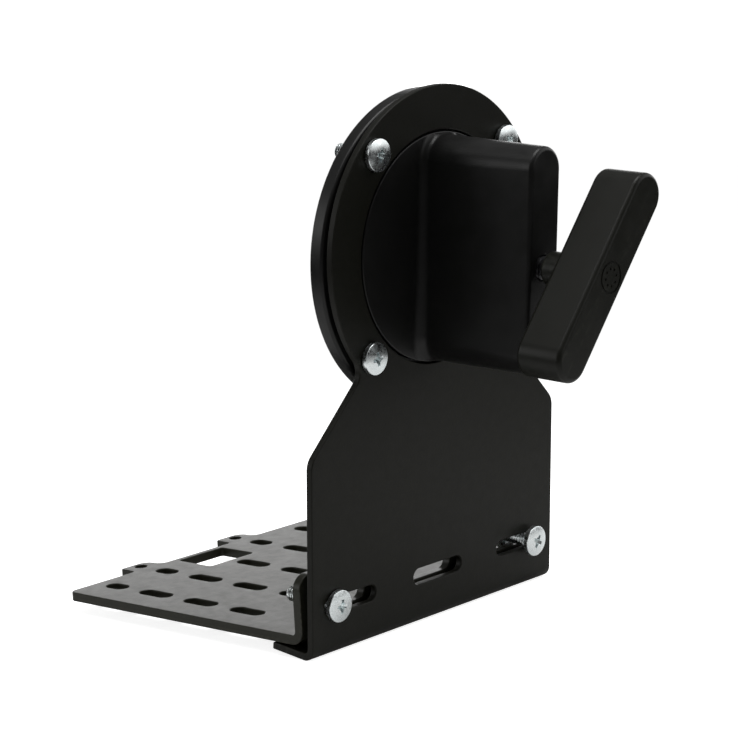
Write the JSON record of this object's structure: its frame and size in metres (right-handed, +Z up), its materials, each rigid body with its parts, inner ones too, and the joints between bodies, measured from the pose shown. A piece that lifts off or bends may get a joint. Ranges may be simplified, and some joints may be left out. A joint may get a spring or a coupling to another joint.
{
  "type": "spare tire carrier bracket",
  "caption": "Slotted steel base bracket and leaning upright plate with a round moulded mount, whose oblong post carries a turn-to-lock T-handle.",
  "frame": {"origin": "middle of the bounding box's bottom: under the part's middle, at the height of the upright's lowest edge", "axes": "+X to the right seen from the handle side, +Y towards the base plate's rear ears, +Z up, square to the base plate"},
  "size_m": [0.1524, 0.2484, 0.2197],
  "materials": {
    "base_paint": "satin black powder coat",
    "upright_paint": "satin black powder coat",
    "mount_plastic": "fine-grained black moulding",
    "grip_plastic": "fine-grained dark moulding",
    "zinc": "bright zinc plate",
    "brass": "machined",
    "stud_steel": "plain machined steel"
  },
  "bodies": {
    "bracket": {"base_bracket": "base_paint", "slide_bolt_left": "zinc", "slide_bolt_right": "zinc", "slide_nut_left": "zinc", "slide_nut_right": "zinc"},
    "upright": {"upright_plate": "upright_paint", "mount_body": "mount_plastic", "post_insert": "brass", "mount_screw_1": "zinc", "mount_screw_2": "zinc", "mount_screw_3": "zinc", "mount_screw_4": "zinc", "mount_insert_1": "brass", "mount_insert_2": "brass", "mount_insert_3": "brass", "mount_insert_4": "brass"},
    "collar": {"stud_collar": "grip_plastic"},
    "handle": {"handle_grip": "grip_plastic", "handle_stud": "stud_steel", "stud_stop_ring": "stud_steel"}
  },
  "joints": [
    {"name": "upright_shift", "type": "slide", "parent": "bracket", "child": "upright", "axis": [1, 0, 0], "range_m": [-0.0055, 0.0032]},
    {"name": "handle_feed", "type": "slide", "parent": "upright", "child": "collar", "axis": [0, 0.9976, 0.0698], "range_m": [-0.0032, 0.0032]},
    {"name": "handle_turn", "type": "hinge", "parent": "collar", "child": "handle", "pos_m": [0, -0.09335, 0.1482], "axis": [0, 0.9976, 0.0698], "range_deg": [-720, 720]}
  ],
  "couplings": [
    {"joint": "handle_feed", "follows": "handle_turn", "m_per_rad": 0.00025266}
  ]
}
